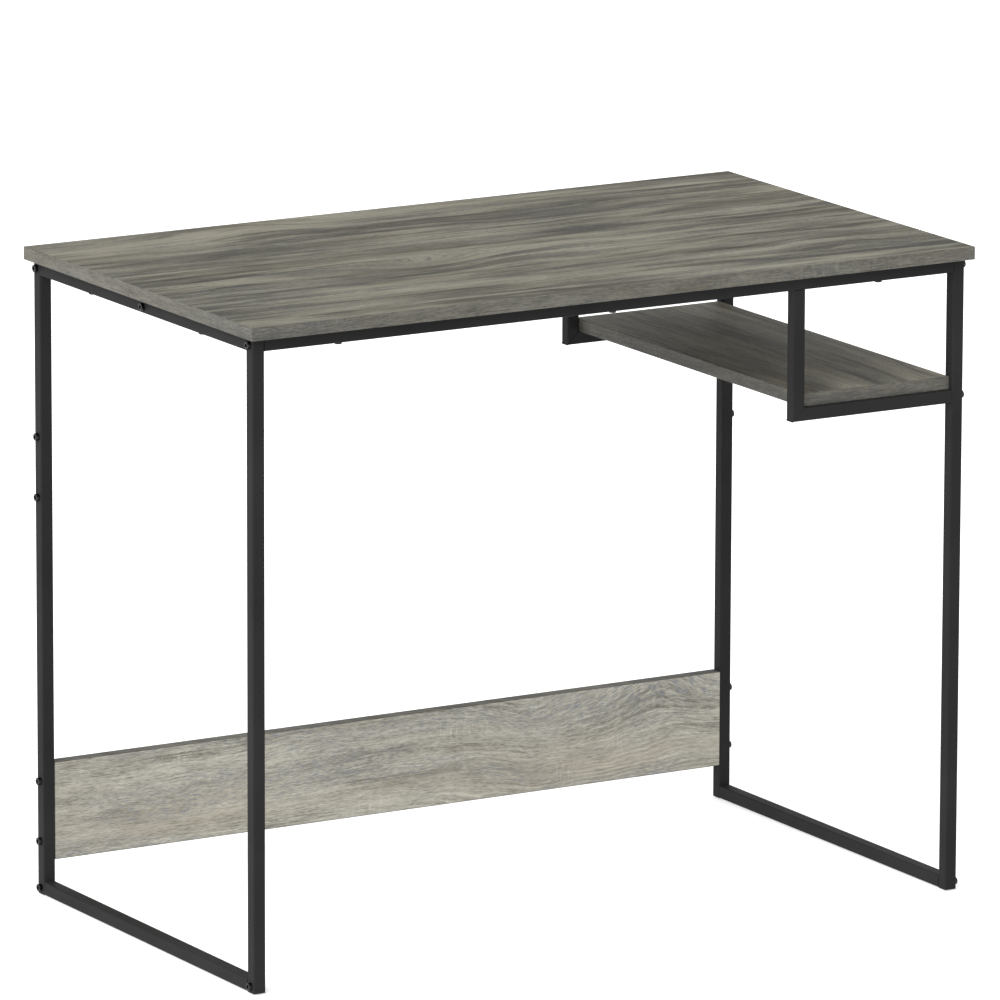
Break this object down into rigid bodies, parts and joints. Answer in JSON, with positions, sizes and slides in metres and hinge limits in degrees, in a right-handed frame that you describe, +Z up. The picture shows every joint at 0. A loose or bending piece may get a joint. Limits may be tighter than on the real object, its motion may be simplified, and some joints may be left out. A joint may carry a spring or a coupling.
{
  "type": "computer desk",
  "caption": "Small computer desk: wood-look laminate top on a slim black square-tube frame, with a fixed side shelf hung under the top and a low back panel.",
  "frame": {"origin": "on the floor, under the middle of the desktop", "axes": "+X along the desk towards the shelf, +Y towards the back panel, +Z up"},
  "size_m": [0.93, 0.528, 0.7495],
  "materials": {
    "laminate_top": "matt grey-oak laminate",
    "laminate_shelf": "matt grey-oak laminate",
    "laminate_panel": "matt grey-oak laminate",
    "edging": "matt grey-oak edging strip",
    "black_frame": "fine matt black powder coat",
    "black_bolt": "satin black oxide",
    "zinc_steel": "zinc plated",
    "black_plastic": "moulded, matt"
  },
  "bodies": {
    "desk": {"arm_bolts": "black_bolt", "arm_plugs": "zinc_steel", "cross_rail_front": "black_frame", "cross_rail_middle": "black_frame", "cross_rail_plugs_front": "zinc_steel", "cross_rail_plugs_middle": "zinc_steel", "cross_rail_plugs_rear": "zinc_steel", "cross_rail_rear": "black_frame", "desktop_board": "laminate_top", "desktop_edge_band": "edging", "desktop_screws": "black_bolt", "frame_bolts_left": "black_bolt", "frame_bolts_right": "black_bolt", "leg_caps": "black_plastic", "leg_front_left": "black_frame", "leg_front_right": "black_frame", "leg_rear_left": "black_frame", "leg_rear_right": "black_frame", "low_rail_bolts": "black_bolt", "low_rail_connector_front_left": "zinc_steel", "low_rail_connector_front_right": "zinc_steel", "low_rail_connector_rear_left": "zinc_steel", "low_rail_connector_rear_right": "zinc_steel", "panel_barrel_nuts": "zinc_steel", "panel_bolts": "black_bolt", "post_bolts": "black_bolt", "post_plugs": "zinc_steel", "rear_panel": "laminate_panel", "rear_panel_edge_band": "edging", "shelf_arm_front": "black_frame", "shelf_arm_rear": "black_frame", "shelf_board": "laminate_shelf", "shelf_edge_band": "edging", "shelf_post_front": "black_frame", "shelf_post_rear": "black_frame", "side_low_rail_left": "black_frame", "side_low_rail_right": "black_frame", "side_top_rail_left": "black_frame", "side_top_rail_right": "black_frame", "spare_bolts": "black_bolt", "spare_nuts": "zinc_steel"},
    "foot_front_left": {"foot_stem_front_left": "zinc_steel", "foot_pad_front_left": "black_plastic"},
    "foot_front_right": {"foot_stem_front_right": "zinc_steel", "foot_pad_front_right": "black_plastic"},
    "foot_rear_left": {"foot_stem_rear_left": "zinc_steel", "foot_pad_rear_left": "black_plastic"},
    "foot_rear_right": {"foot_stem_rear_right": "zinc_steel", "foot_pad_rear_right": "black_plastic"}
  },
  "joints": [
    {"name": "foot_front_left_travel", "type": "slide", "parent": "desk", "child": "foot_front_left", "axis": [0, 0, -1], "range_m": [0, 0.006]},
    {"name": "foot_front_right_travel", "type": "slide", "parent": "desk", "child": "foot_front_right", "axis": [0, 0, -1], "range_m": [0, 0.006]},
    {"name": "foot_rear_left_travel", "type": "slide", "parent": "desk", "child": "foot_rear_left", "axis": [0, 0, -1], "range_m": [0, 0.006]},
    {"name": "foot_rear_right_travel", "type": "slide", "parent": "desk", "child": "foot_rear_right", "axis": [0, 0, -1], "range_m": [0, 0.006]}
  ]
}
